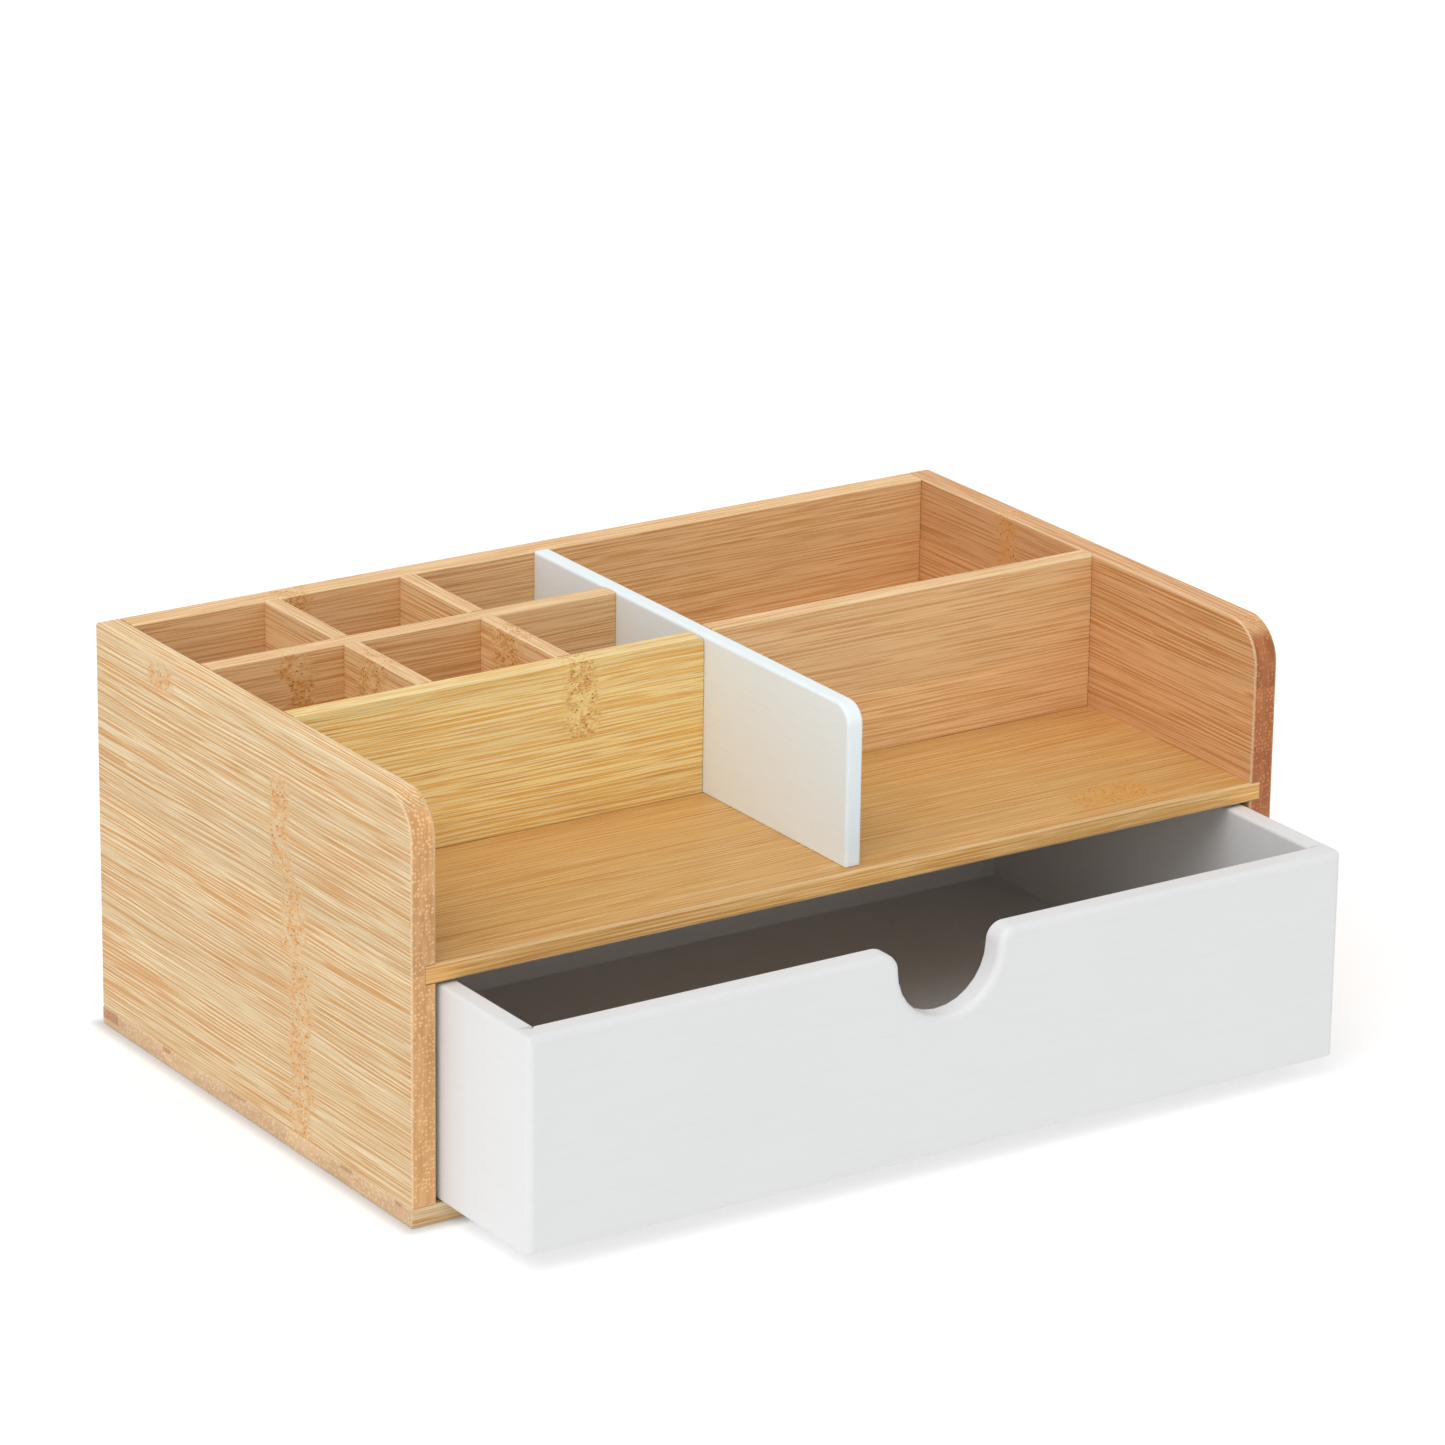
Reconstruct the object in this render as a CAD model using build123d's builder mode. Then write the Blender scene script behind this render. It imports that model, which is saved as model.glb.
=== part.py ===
from build123d import *
import os

# Desk organizer: a bamboo case with pen compartments, trays and a white-painted drawer.
# Millimetres, +Z up, +X to the right, -Y towards the user.
# The origin is the centre of the base panel's underside.
# The drawer is modelled pulled out by DRAWER_PULL.

# ---- driving dimensions: case ----
CASE_WIDTH = 330.0
CASE_DEPTH = 200.0
CASE_HEIGHT = 140.0
SIDE_THICK = 9.0
BACK_THICK = 9.0
BASE_THICK = 6.5
SHELF_THICK = 6.5
SHELF_TOP = 86.0
DADO_DEPTH = 4.0
WALL_THICK = 7.0
CROSS_THICK = 6.0
DIVIDER_THICK = 6.0
DIVIDER_SETBACK = 3.5
PEN_CELL_WIDTH_LEFT = 49.0
PEN_CELL_WIDTH_MIDDLE = 45.5
PEN_FRONT_WALL_Y = -14.0
PEN_MIDDLE_WALL_Y = 39.5
RIGHT_WALL_Y = -9.5
SIDE_CORNER_RADIUS = 14.0
DIVIDER_CORNER_RADIUS = 7.0
WALL_END_RADIUS = 3.0
BASE_REAR_RADIUS = 3.0

# ---- driving dimensions: drawer ----
DRAWER_PULL = 51.0
DRAWER_LENGTH = 188.0
DRAWER_SIDE_GAP = 1.5
DRAWER_TOP_GAP = 1.0
DRAWER_GLIDE_GAP = 0.3
FRONT_THICK = 9.0
DRAWER_SIDE_THICK = 7.0
DRAWER_BACK_THICK = 7.0
DRAWER_BOTTOM_THICK = 3.0
BOTTOM_LIFT = 4.0
GROOVE_DEPTH = 3.0
GROOVE_SLACK = 0.1
NOTCH_RADIUS = 19.0
NOTCH_DEPTH = 25.0

# ---- driving dimensions: eased edges and dowels ----
EASE = 0.8
BASE_EASE = 0.5
PAINT_EASE = 1.0
FRONT_EASE = 2.0
CASE_DOWEL_RADIUS = 3.0
CASE_DOWEL_LENGTH = 24.0
BASE_DOWEL_DEPTH = 4.0
BACK_DOWEL_DEPTH = 5.0
DRAWER_DOWEL_RADIUS = 2.0
DRAWER_DOWEL_LENGTH = 18.0
DRAWER_DOWEL_DEPTH = 5.0
DOWEL_FIT = 0.05
BASE_DOWEL_YS = (-70.0, 0.0, 70.0)
BACK_DOWEL_ZS = (35.0, 112.0)
DRAWER_DOWEL_ZS = (28.0, 62.0)

# ---- places worked out from them ----
HALF_WIDTH = CASE_WIDTH / 2
FRONT_Y = -CASE_DEPTH / 2
REAR_Y = CASE_DEPTH / 2
INNER_X = HALF_WIDTH - SIDE_THICK
BACK_Y = REAR_Y - BACK_THICK
SHELF_UNDER = SHELF_TOP - SHELF_THICK
DIVIDER_RIGHT_X = DIVIDER_THICK / 2
DIVIDER_LEFT_X = -DIVIDER_RIGHT_X
CROSS_LEFT_X = -INNER_X + PEN_CELL_WIDTH_LEFT
CROSS_RIGHT_X = CROSS_LEFT_X + CROSS_THICK + PEN_CELL_WIDTH_MIDDLE
SIDE_CENTRE_X = HALF_WIDTH - SIDE_THICK / 2
BACK_CENTRE_Y = REAR_Y - BACK_THICK / 2

DRAWER_X = INNER_X - DRAWER_SIDE_GAP
DRAWER_INNER_X = DRAWER_X - DRAWER_SIDE_THICK
DRAWER_FRONT_Y = FRONT_Y - DRAWER_PULL
DRAWER_FRONT_IN_Y = DRAWER_FRONT_Y + FRONT_THICK
DRAWER_REAR_Y = DRAWER_FRONT_Y + DRAWER_LENGTH
DRAWER_BACK_IN_Y = DRAWER_REAR_Y - DRAWER_BACK_THICK
DRAWER_Z = BASE_THICK + DRAWER_GLIDE_GAP
DRAWER_TOP = SHELF_UNDER - DRAWER_TOP_GAP
BOTTOM_Z = DRAWER_Z + BOTTOM_LIFT
DRAWER_SIDE_CENTRE_X = DRAWER_X - DRAWER_SIDE_THICK / 2
DRAWER_BACK_CENTRE_Y = DRAWER_REAR_Y - DRAWER_BACK_THICK / 2

os.makedirs("parts", exist_ok=True)


def save(builder, name):
    """Label a finished piece and write it as its own STEP file."""
    builder.part.label = name
    export_step(builder.part, f"parts/{name}.step")


def block(x_range, y_range, z_range, mode=Mode.ADD):
    """Extrude an upright rectangular block between the given limits."""
    width = x_range[1] - x_range[0]
    depth = y_range[1] - y_range[0]
    with BuildSketch(Plane.XY.offset(z_range[0])) as footprint:
        with Locations((x_range[0] + width / 2, y_range[0] + depth / 2)):
            Rectangle(width, depth)
    extrude(footprint.sketch, amount=z_range[1] - z_range[0], mode=mode)


def holes_along_x(start_x, depth, radius, spots):
    """Drill blind holes from the plane x = start_x; the sign of depth gives the way."""
    with BuildSketch(Plane.YZ.offset(start_x)) as bores:
        with Locations(*spots):
            Circle(radius)
    extrude(bores.sketch, amount=depth, mode=Mode.SUBTRACT)


def holes_along_y(start_y, depth, radius, spots):
    """Drill blind holes from the plane y = start_y; the sign of depth gives the way."""
    with BuildSketch(Plane.XZ.offset(-start_y)) as bores:
        with Locations(*spots):
            Circle(radius)
    extrude(bores.sketch, amount=-depth, mode=Mode.SUBTRACT)


# ---- base panel: one board under everything ----
with BuildPart() as base_panel:
    block((-HALF_WIDTH, HALF_WIDTH), (FRONT_Y, REAR_Y), (0, BASE_THICK))
    rear_corners = base_panel.edges().filter_by(Axis.Z).group_by(Axis.Y)[-1]
    fillet(rear_corners, BASE_REAR_RADIUS)
    rims = base_panel.faces().filter_by(Axis.Z).edges()
    fillet(rims, BASE_EASE)
    with BuildSketch(Plane.XY.offset(BASE_THICK)):
        with Locations(*[(s * SIDE_CENTRE_X, y) for s in (-1, 1) for y in BASE_DOWEL_YS]):
            Circle(CASE_DOWEL_RADIUS + DOWEL_FIT)
    extrude(amount=-BASE_DOWEL_DEPTH, mode=Mode.SUBTRACT)
save(base_panel, "base_panel")


# ---- side panels: rounded at the front top, with a dado for the shelf ----
for side, name in ((-1, "left_side_panel"), (1, "right_side_panel")):
    outer_x = side * HALF_WIDTH
    inner_x = side * INNER_X
    with BuildPart() as side_panel:
        with BuildSketch(Plane.YZ.offset(min(outer_x, inner_x))) as profile:
            with Locations((0, (BASE_THICK + CASE_HEIGHT) / 2)):
                Rectangle(CASE_DEPTH, CASE_HEIGHT - BASE_THICK)
            front_top = profile.vertices().group_by(Axis.Y)[-1].sort_by(Axis.X)[0]
            fillet(front_top, SIDE_CORNER_RADIUS)
        extrude(amount=SIDE_THICK)
        fillet(side_panel.edges(), EASE)
        dado = sorted((inner_x, inner_x + side * DADO_DEPTH))
        block(dado, (FRONT_Y, BACK_Y), (SHELF_UNDER, SHELF_TOP), mode=Mode.SUBTRACT)
        back_spots = [(BACK_CENTRE_Y, z) for z in BACK_DOWEL_ZS]
        holes_along_x(inner_x, side * BACK_DOWEL_DEPTH, CASE_DOWEL_RADIUS + DOWEL_FIT, back_spots)
        with BuildSketch(Plane.XY.offset(BASE_THICK)):
            with Locations(*[(side * SIDE_CENTRE_X, y) for y in BASE_DOWEL_YS]):
                Circle(CASE_DOWEL_RADIUS + DOWEL_FIT)
        extrude(amount=CASE_DOWEL_LENGTH - BASE_DOWEL_DEPTH, mode=Mode.SUBTRACT)
    save(side_panel, name)


# ---- back panel: between the side panels ----
with BuildPart() as back_panel:
    block((-INNER_X, INNER_X), (BACK_Y, REAR_Y), (BASE_THICK, CASE_HEIGHT))
    fillet(back_panel.edges().filter_by(Axis.X), EASE)
    for side in (-1, 1):
        end_spots = [(BACK_CENTRE_Y, z) for z in BACK_DOWEL_ZS]
        end_depth = CASE_DOWEL_LENGTH - BACK_DOWEL_DEPTH
        holes_along_x(side * INNER_X, -side * end_depth, CASE_DOWEL_RADIUS + DOWEL_FIT, end_spots)
save(back_panel, "back_panel")


# ---- shelf: the drawer's roof, let into both side panels ----
with BuildPart() as shelf_panel:
    shelf_half = INNER_X + DADO_DEPTH
    block((-shelf_half, shelf_half), (FRONT_Y, BACK_Y), (SHELF_UNDER, SHELF_TOP))
    fillet(shelf_panel.edges().filter_by(Axis.X).group_by(Axis.Y)[0], EASE)
save(shelf_panel, "shelf_panel")


# ---- centre divider: painted white, from the back panel almost to the front ----
with BuildPart() as centre_divider:
    divider_front = FRONT_Y + DIVIDER_SETBACK
    with BuildSketch(Plane.YZ.offset(DIVIDER_LEFT_X)) as divider_profile:
        with Locations(((divider_front + BACK_Y) / 2, (SHELF_TOP + CASE_HEIGHT) / 2)):
            Rectangle(BACK_Y - divider_front, CASE_HEIGHT - SHELF_TOP)
        divider_corner = divider_profile.vertices().group_by(Axis.Y)[-1].sort_by(Axis.X)[0]
        fillet(divider_corner, DIVIDER_CORNER_RADIUS)
    extrude(amount=DIVIDER_THICK)
    seated = centre_divider.faces().sort_by(Axis.Z)[0].edges()
    seated += centre_divider.faces().sort_by(Axis.Y)[-1].edges()
    fillet([e for e in centre_divider.edges() if e not in seated], PAINT_EASE)
save(centre_divider, "centre_divider")


def cross_wall(name, x_range, y_front, round_right_end=False):
    """A long wall standing on the shelf, running from left to right."""
    with BuildPart() as wall:
        block(x_range, (y_front, y_front + WALL_THICK), (SHELF_TOP, CASE_HEIGHT))
        if round_right_end:
            right_top = wall.edges().filter_by(Axis.Y).group_by(Axis.Z)[-1].sort_by(Axis.X)[-1]
            fillet(right_top, WALL_END_RADIUS)
        top_face = wall.faces().sort_by(Axis.Z)[-1]
        fillet(top_face.edges().filter_by(Axis.X), EASE)
    save(wall, name)


# ---- long walls of the pen rows and of the right-hand compartment ----
cross_wall("pen_front_wall", (-INNER_X, DIVIDER_LEFT_X), PEN_FRONT_WALL_Y, round_right_end=True)
cross_wall("pen_middle_wall", (-INNER_X, DIVIDER_LEFT_X), PEN_MIDDLE_WALL_Y)
cross_wall("right_wall", (DIVIDER_RIGHT_X, INNER_X), RIGHT_WALL_Y)


# ---- short dividers: two in each pen row ----
PEN_ROWS = (
    ("rear", PEN_MIDDLE_WALL_Y + WALL_THICK, BACK_Y),
    ("front", PEN_FRONT_WALL_Y + WALL_THICK, PEN_MIDDLE_WALL_Y),
)
for row, y_start, y_end in PEN_ROWS:
    for place, x_start in (("left", CROSS_LEFT_X), ("right", CROSS_RIGHT_X)):
        with BuildPart() as pen_divider:
            block((x_start, x_start + CROSS_THICK), (y_start, y_end), (SHELF_TOP, CASE_HEIGHT))
            fillet(pen_divider.faces().sort_by(Axis.Z)[-1].edges(), EASE)
        save(pen_divider, f"{row}_pen_divider_{place}")


# ---- case dowels, hidden in the glued joints ----
with BuildPart() as base_dowels:
    with BuildSketch(Plane.XY.offset(BASE_THICK - BASE_DOWEL_DEPTH)):
        with Locations(*[(s * SIDE_CENTRE_X, y) for s in (-1, 1) for y in BASE_DOWEL_YS]):
            Circle(CASE_DOWEL_RADIUS)
    extrude(amount=CASE_DOWEL_LENGTH)
save(base_dowels, "base_dowels")

with BuildPart() as back_dowels:
    for side in (-1, 1):
        with BuildSketch(Plane.YZ.offset(side * (INNER_X + BACK_DOWEL_DEPTH))):
            with Locations(*[(BACK_CENTRE_Y, z) for z in BACK_DOWEL_ZS]):
                Circle(CASE_DOWEL_RADIUS)
        extrude(amount=-side * CASE_DOWEL_LENGTH)
save(back_dowels, "back_dowels")


# ---- drawer front: rounded all round, with a finger notch in its top edge ----
NOTCH_LIP_RADIUS = NOTCH_DEPTH - NOTCH_RADIUS
NOTCH_CENTRE_Z = DRAWER_TOP - NOTCH_LIP_RADIUS
NOTCH_MOUTH = NOTCH_RADIUS + NOTCH_LIP_RADIUS
ABOVE_TOP = DRAWER_TOP + NOTCH_LIP_RADIUS
GROOVE_LOW = BOTTOM_Z - GROOVE_SLACK
GROOVE_HIGH = BOTTOM_Z + DRAWER_BOTTOM_THICK + GROOVE_SLACK
FRONT_DOWEL_SPOTS = [(s * DRAWER_SIDE_CENTRE_X, z) for s in (-1, 1) for z in DRAWER_DOWEL_ZS]

with BuildPart() as drawer_front:
    block((-DRAWER_X, DRAWER_X), (DRAWER_FRONT_Y, DRAWER_FRONT_IN_Y), (DRAWER_Z, DRAWER_TOP))
    with BuildSketch(Plane.XZ.offset(-DRAWER_FRONT_Y)):
        with BuildLine():
            CenterArc((-NOTCH_MOUTH, NOTCH_CENTRE_Z), NOTCH_LIP_RADIUS, 90, -90)
            CenterArc((0, NOTCH_CENTRE_Z), NOTCH_RADIUS, 180, 180)
            CenterArc((NOTCH_MOUTH, NOTCH_CENTRE_Z), NOTCH_LIP_RADIUS, 180, -90)
            Polyline(
                (NOTCH_MOUTH, DRAWER_TOP),
                (NOTCH_MOUTH, ABOVE_TOP),
                (-NOTCH_MOUTH, ABOVE_TOP),
                (-NOTCH_MOUTH, DRAWER_TOP),
            )
        make_face()
    extrude(amount=-FRONT_THICK, mode=Mode.SUBTRACT)
    fillet(drawer_front.faces().sort_by(Axis.Y)[0].edges(), FRONT_EASE)
    inner_face = drawer_front.faces().sort_by(Axis.Y)[-1]
    inner_rim = inner_face.edges().filter_by(lambda e: e.center().Z > NOTCH_CENTRE_Z - NOTCH_RADIUS)
    fillet(inner_rim.filter_by(lambda e: abs(e.center().X) < DRAWER_INNER_X), PAINT_EASE)
    groove_x = DRAWER_INNER_X + GROOVE_DEPTH
    groove_y = (DRAWER_FRONT_IN_Y - GROOVE_DEPTH, DRAWER_FRONT_IN_Y)
    block((-groove_x, groove_x), groove_y, (GROOVE_LOW, GROOVE_HIGH), mode=Mode.SUBTRACT)
    holes_along_y(
        DRAWER_FRONT_IN_Y, -DRAWER_DOWEL_DEPTH, DRAWER_DOWEL_RADIUS + DOWEL_FIT, FRONT_DOWEL_SPOTS
    )
save(drawer_front, "drawer_front")


# ---- drawer sides: butted to the front, grooved for the bottom ----
for side, name in ((-1, "drawer_left_side"), (1, "drawer_right_side")):
    faces_x = sorted((side * DRAWER_X, side * DRAWER_INNER_X))
    with BuildPart() as drawer_side:
        block(faces_x, (DRAWER_FRONT_IN_Y, DRAWER_REAR_Y), (DRAWER_Z, DRAWER_TOP))
        fillet(drawer_side.edges().filter_by(Axis.Y), PAINT_EASE)
        slot_x = sorted((side * DRAWER_INNER_X, side * (DRAWER_INNER_X + GROOVE_DEPTH)))
        slot_y = (DRAWER_FRONT_IN_Y, DRAWER_REAR_Y)
        block(slot_x, slot_y, (GROOVE_LOW, GROOVE_HIGH), mode=Mode.SUBTRACT)
        front_spots = [(side * DRAWER_SIDE_CENTRE_X, z) for z in DRAWER_DOWEL_ZS]
        front_depth = DRAWER_DOWEL_LENGTH - DRAWER_DOWEL_DEPTH
        holes_along_y(DRAWER_FRONT_IN_Y, front_depth, DRAWER_DOWEL_RADIUS + DOWEL_FIT, front_spots)
        rear_spots = [(DRAWER_BACK_CENTRE_Y, z) for z in DRAWER_DOWEL_ZS]
        holes_along_x(
            side * DRAWER_INNER_X, side * DRAWER_DOWEL_DEPTH, DRAWER_DOWEL_RADIUS + DOWEL_FIT, rear_spots
        )
    save(drawer_side, name)


# ---- drawer back: between the drawer sides ----
with BuildPart() as drawer_back:
    block((-DRAWER_INNER_X, DRAWER_INNER_X), (DRAWER_BACK_IN_Y, DRAWER_REAR_Y), (DRAWER_Z, DRAWER_TOP))
    fillet(drawer_back.edges().filter_by(Axis.X), PAINT_EASE)
    block(
        (-DRAWER_INNER_X, DRAWER_INNER_X),
        (DRAWER_BACK_IN_Y, DRAWER_BACK_IN_Y + GROOVE_DEPTH),
        (GROOVE_LOW, GROOVE_HIGH),
        mode=Mode.SUBTRACT,
    )
    for side in (-1, 1):
        holes_along_x(
            side * DRAWER_INNER_X,
            -side * (DRAWER_DOWEL_LENGTH - DRAWER_DOWEL_DEPTH),
            DRAWER_DOWEL_RADIUS + DOWEL_FIT,
            [(DRAWER_BACK_CENTRE_Y, z) for z in DRAWER_DOWEL_ZS],
        )
save(drawer_back, "drawer_back")


# ---- drawer bottom: a thin panel held in the grooves ----
with BuildPart() as drawer_bottom:
    panel_reach = GROOVE_DEPTH - GROOVE_SLACK
    panel_x = DRAWER_INNER_X + panel_reach
    block(
        (-panel_x, panel_x),
        (DRAWER_FRONT_IN_Y - panel_reach, DRAWER_BACK_IN_Y + panel_reach),
        (BOTTOM_Z, BOTTOM_Z + DRAWER_BOTTOM_THICK),
    )
save(drawer_bottom, "drawer_bottom")


# ---- drawer dowels, hidden in its four corners ----
with BuildPart() as drawer_front_dowels:
    with BuildSketch(Plane.XZ.offset(-(DRAWER_FRONT_IN_Y - DRAWER_DOWEL_DEPTH))):
        with Locations(*FRONT_DOWEL_SPOTS):
            Circle(DRAWER_DOWEL_RADIUS)
    extrude(amount=-DRAWER_DOWEL_LENGTH)
save(drawer_front_dowels, "drawer_front_dowels")

with BuildPart() as drawer_back_dowels:
    for side in (-1, 1):
        with BuildSketch(Plane.YZ.offset(side * (DRAWER_INNER_X + DRAWER_DOWEL_DEPTH))):
            with Locations(*[(DRAWER_BACK_CENTRE_Y, z) for z in DRAWER_DOWEL_ZS]):
                Circle(DRAWER_DOWEL_RADIUS)
        extrude(amount=-side * DRAWER_DOWEL_LENGTH)
save(drawer_back_dowels, "drawer_back_dowels")
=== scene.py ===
"""Desk organizer: a bamboo case with pen compartments and trays, and a white drawer."""

import math

import bmesh
import bpy
from bpy.props import FloatProperty, FloatVectorProperty, IntProperty, PointerProperty
from mathutils import Matrix, Vector


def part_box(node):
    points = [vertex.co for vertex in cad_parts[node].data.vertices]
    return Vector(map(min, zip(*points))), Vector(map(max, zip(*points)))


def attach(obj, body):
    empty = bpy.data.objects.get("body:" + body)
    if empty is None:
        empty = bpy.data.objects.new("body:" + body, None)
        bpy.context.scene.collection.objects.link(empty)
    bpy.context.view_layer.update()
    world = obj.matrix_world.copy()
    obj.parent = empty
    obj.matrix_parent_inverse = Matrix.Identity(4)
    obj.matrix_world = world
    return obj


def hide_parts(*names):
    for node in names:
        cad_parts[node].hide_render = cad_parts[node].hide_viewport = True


bl_info = {
    "name": "Bamboo Desk Organizer",
    "version": (1, 0, 0),
    "blender": (4, 5, 0),
    "location": "3D View > Sidebar > Organizer",
    "description": "Builds the boards, the drawer, the finishes and the studio of a bamboo desk organizer",
    "category": "Add Mesh",
}

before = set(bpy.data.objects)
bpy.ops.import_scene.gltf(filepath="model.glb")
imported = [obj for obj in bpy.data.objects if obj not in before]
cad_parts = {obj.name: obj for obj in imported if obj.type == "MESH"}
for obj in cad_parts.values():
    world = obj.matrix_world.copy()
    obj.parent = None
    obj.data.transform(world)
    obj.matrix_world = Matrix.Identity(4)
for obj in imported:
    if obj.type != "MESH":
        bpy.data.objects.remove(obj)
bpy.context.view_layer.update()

MM = 0.001
PER_MM = 1000.0
ARC_STEPS = 14
BEVEL_STEPS = 3
FIT_TOLERANCE = 0.01 * MM
CUTTER_MARGIN = 5 * MM
SHARP_ANGLE = math.radians(40)
ARC_ANGLE = math.radians(30)


# ---------------------------------------------------------------- node writing


class Signal:
    """A value socket. Arithmetic on it adds Math nodes to its sheet."""

    def __init__(self, sheet, socket):
        self.sheet = sheet
        self.socket = socket

    def maths(self, operation, *operands):
        inputs = dict(enumerate(operands))
        made = self.sheet.node("ShaderNodeMath", {"operation": operation}, inputs)
        return Signal(self.sheet, made.outputs[0])

    def __add__(self, other):
        return self.maths("ADD", self, other)

    def __radd__(self, other):
        return self.maths("ADD", other, self)

    def __sub__(self, other):
        return self.maths("SUBTRACT", self, other)

    def __rsub__(self, other):
        return self.maths("SUBTRACT", other, self)

    def __mul__(self, other):
        return self.maths("MULTIPLY", self, other)

    def __rmul__(self, other):
        return self.maths("MULTIPLY", other, self)

    def __truediv__(self, other):
        return self.maths("DIVIDE", self, other)

    def __rtruediv__(self, other):
        return self.maths("DIVIDE", other, self)

    def __abs__(self):
        return self.maths("ABSOLUTE", self)

    def floor(self):
        return self.maths("FLOOR", self)

    def fract(self):
        return self.maths("FRACT", self)

    def larger(self, other):
        return self.maths("MAXIMUM", self, other)

    def root(self):
        return self.maths("SQRT", self)

    def over(self, limit):
        return self.maths("GREATER_THAN", self, limit)

    def rise(self, low, high):
        """0 below low, 1 above high, and a smooth step between them."""
        made = self.sheet.node(
            "ShaderNodeMapRange",
            {"interpolation_type": "SMOOTHSTEP"},
            {"Value": self, "From Min": low, "From Max": high, "To Min": 0.0, "To Max": 1.0},
        )
        return Signal(self.sheet, made.outputs["Result"])

    def fall(self, low, high):
        """1 below low, 0 above high, and a smooth step between them."""
        return 1 - self.rise(low, high)


class NodeSheet:
    """Writes nodes into one tree: a type, its settings, then its sockets' values or links."""

    def __init__(self, tree):
        self.tree = tree

    def feed(self, socket, value):
        """Link a signal or a socket, or set a plain value."""
        source = value.socket if isinstance(value, Signal) else value
        if isinstance(source, bpy.types.NodeSocket):
            self.tree.links.new(source, socket)
        else:
            socket.default_value = source

    def node(self, kind, settings=None, inputs=None):
        made = self.tree.nodes.new(kind)
        for key, value in (settings or {}).items():
            setattr(made, key, value)
        for key, value in (inputs or {}).items():
            self.feed(made.inputs[key], value)
        return made

    def combine(self, x, y, z):
        made = self.node("ShaderNodeCombineXYZ", None, {"X": x, "Y": y, "Z": z})
        return made.outputs["Vector"]

    def split(self, vector):
        made = self.node("ShaderNodeSeparateXYZ", None, {"Vector": vector})
        return [Signal(self, made.outputs[axis]) for axis in "XYZ"]

    def noise(self, x, y, z, detail, roughness=0.55):
        inputs = {
            "Vector": self.combine(x, y, z),
            "Scale": 1.0,
            "Detail": detail,
            "Roughness": roughness,
        }
        made = self.node("ShaderNodeTexNoise", {"noise_dimensions": "3D"}, inputs)
        return Signal(self, made.outputs[0])

    def cells(self, x, y, z, jitter=1.0):
        """Distance to the nearest of a scatter of points, one in each unit cell."""
        inputs = {"Vector": self.combine(x, y, z), "Scale": 1.0, "Randomness": jitter}
        made = self.node("ShaderNodeTexVoronoi", {"feature": "F1"}, inputs)
        return Signal(self, made.outputs["Distance"])

    def dice(self, number):
        """Three random values, the same wherever number is the same."""
        made = self.node("ShaderNodeTexWhiteNoise", {"noise_dimensions": "1D"}, {"W": number})
        return self.split(made.outputs["Color"])

    def mix(self, factor, first, second):
        """A colour between first and second. The factor is held between 0 and 1."""
        inputs = {0: factor, 6: first, 7: second}
        return self.node("ShaderNodeMix", {"data_type": "RGBA"}, inputs).outputs[2]

    def shade(self, colour, factor):
        """The colour made darker or lighter by a factor."""
        made = self.node("ShaderNodeVectorMath", {"operation": "SCALE"}, {0: colour, "Scale": factor})
        return made.outputs["Vector"]


def new_material(name):
    """An empty node material with its sheet and its shader node."""
    material = bpy.data.materials.new(name)
    material.use_nodes = True
    material.node_tree.nodes.clear()
    sheet = NodeSheet(material.node_tree)
    shader = sheet.node("ShaderNodeBsdfPrincipled")
    sheet.node("ShaderNodeOutputMaterial", None, {"Surface": shader.outputs["BSDF"]})
    return material, sheet, shader


def rgba(colour):
    return (*colour, 1.0)


# ---------------------------------------------------------------- finishes


# A pitch is waves per millimetre along and across the grain. A step is the pair of values
# between which a mark fades in or out.
WOBBLE_PITCH, WOBBLE_WIDTH = (0.012, 0.06), 2.5
BROAD_PITCH, BROAD_STEP = (0.006, 0.42), (0.38, 0.68)
FIBRE_PITCH, FIBRE_STEP = (0.020, 1.7), (0.53, 0.62)
HAIR_PITCH, HAIR_STEP = (0.034, 3.0), (0.54, 0.66)
GLINT_PITCH, GLINT_STEP = (0.024, 2.3), (0.53, 0.66)
CROWD_PITCH, CROWD_STEP = (0.010, 0.05), (0.35, 0.62)

# Threads are fine parallel lines with a dark core and a pale verge.
THREADS_PER_MM = 0.72
THREAD_DRIFT, DRIFT_PITCH = 3.0, (0.004, 0.25)
RUN_PITCH, RUN_STEP = 0.022, (0.40, 0.52)
CORE_STEP, VERGE_STEP = (0.08, 0.30), (0.34, 0.47)

# Knuckles: lengths in millimetres.
KNUCKLE_WANDER, KNUCKLE_FRAY, FRAY_PITCH = 16.0, 9.0, (0.12, 0.30)
KNUCKLE_CORE = 0.45
KNUCKLE_END_IN, KNUCKLE_END_OUT = 2.0, 1.0
KNUCKLE_CALM = 0.75
FLAKE_PITCH, FLAKE_STEP = (0.75, 1.15), (0.46, 0.60)
CLOUD_PITCH, CLOUD_STEP = (0.20, 0.26), (0.36, 0.60)
CRACK_PITCH, CRACK_STEP = (0.55, 1.5), (0.55, 0.64)
PORE_PITCH, PORE_STEP = (0.48, 0.70), (0.12, 0.26)

# End grain.
BUNDLE_PITCH, BUNDLE_JITTER, MESH_STEP = 0.80, 0.60, (0.22, 0.52)
DEPTH_STEP, RINGS_STEP = (0.35, 0.65), (0.45, 0.70)
STAIN_SOFTNESS, STAIN_LEVEL_SOFTNESS = 0.8, 0.4

# Faces are told apart by how far their normals lie along a direction of the board.
END_FACE_STEP, EDGE_FACE_STEP = (0.55, 0.85), (0.75, 0.95)
# Painted highlight on the eased edges: where the normal leans part way off the board's face.
EDGE_HIGHLIGHT_FROM, EDGE_HIGHLIGHT_TO = (0.10, 0.35), (0.80, 0.97)


def directions(sheet, where, axes):
    """Places along the board's directions, in millimetres."""
    place = dict(zip("XYZ", sheet.split(where.outputs["Object"])))
    return [place[axis] * PER_MM for axis in axes]


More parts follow.
